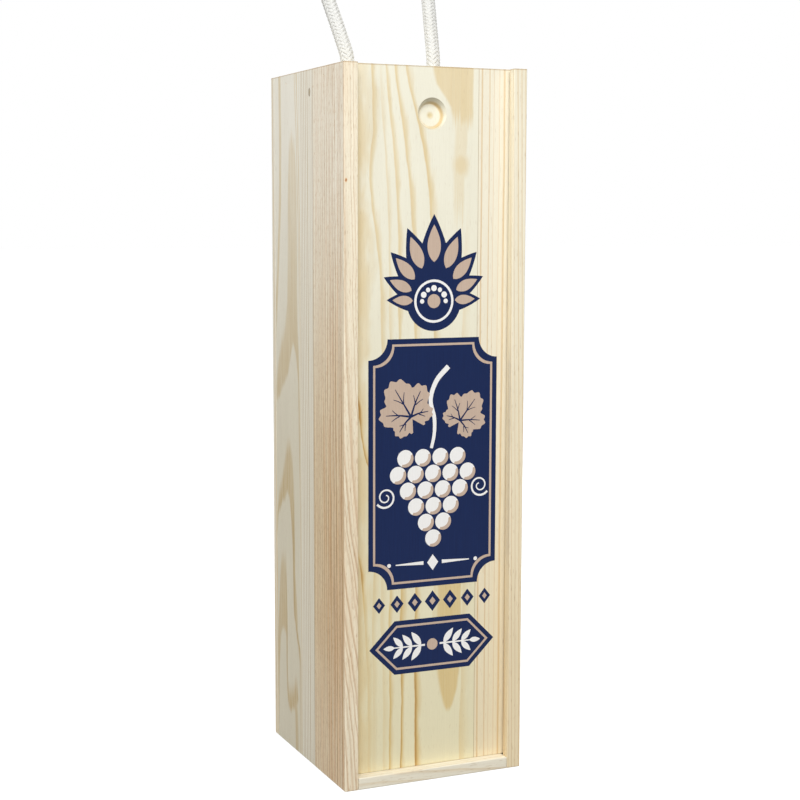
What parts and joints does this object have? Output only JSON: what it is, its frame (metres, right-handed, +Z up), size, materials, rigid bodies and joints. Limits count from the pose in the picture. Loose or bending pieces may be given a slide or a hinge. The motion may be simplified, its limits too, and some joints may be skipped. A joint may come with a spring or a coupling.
{
  "type": "wine box",
  "caption": "Upright pine box for a wine bottle, with a lid that slides up out of grooved sides and a braided rope handle.",
  "frame": {"origin": "centre of the base that the box stands on", "axes": "+Z up, -Y the side that the sliding lid faces, +X to the right of someone who faces the lid"},
  "size_m": [0.096, 0.102, 0.4413],
  "materials": {
    "heart_pine": "bare sanded pine with close straight pinkish grain",
    "sap_pine": "bare sanded pale pine with wide arched grain",
    "bottom_pine": "bare sanded pine with fine speckled grain",
    "lid_pine": "bare sanded pale pine with broad ochre grain lines",
    "lid_edge_pine": "bare sanded pine with straight fine grain",
    "cotton_rope": "white braided cotton rope, matt",
    "brad_steel": "plain bright steel wire"
  },
  "bodies": {
    "box": {"left_front_stave": "heart_pine", "left_rear_stave": "sap_pine", "right_front_stave": "sap_pine", "right_rear_stave": "heart_pine", "back_left_stave": "sap_pine", "back_right_stave": "sap_pine", "top_panel": "sap_pine", "bottom_panel": "bottom_pine", "rope_leg_left": "cotton_rope", "rope_leg_right": "cotton_rope", "knot_left": "cotton_rope", "knot_right": "cotton_rope", "back_brads_left": "brad_steel", "back_brads_right": "brad_steel", "back_brads_top": "brad_steel", "back_brads_bottom": "brad_steel", "pins_left_top": "brad_steel", "pins_left_bottom": "brad_steel", "pins_right_top": "brad_steel", "pins_right_bottom": "brad_steel"},
    "lid": {"lid_wide_stave": "lid_pine", "lid_narrow_stave": "lid_edge_pine"},
    "handle": {"rope_loop": "cotton_rope"}
  },
  "joints": [
    {"name": "lid_slide", "type": "slide", "parent": "box", "child": "lid", "axis": [0, 0, 1], "range_m": [0, 0.355]},
    {"name": "handle_swing", "type": "hinge", "parent": "box", "child": "handle", "pos_m": [0, 0.005, 0.3538], "axis": [1, 0, 0], "range_deg": [-60, 50]}
  ]
}
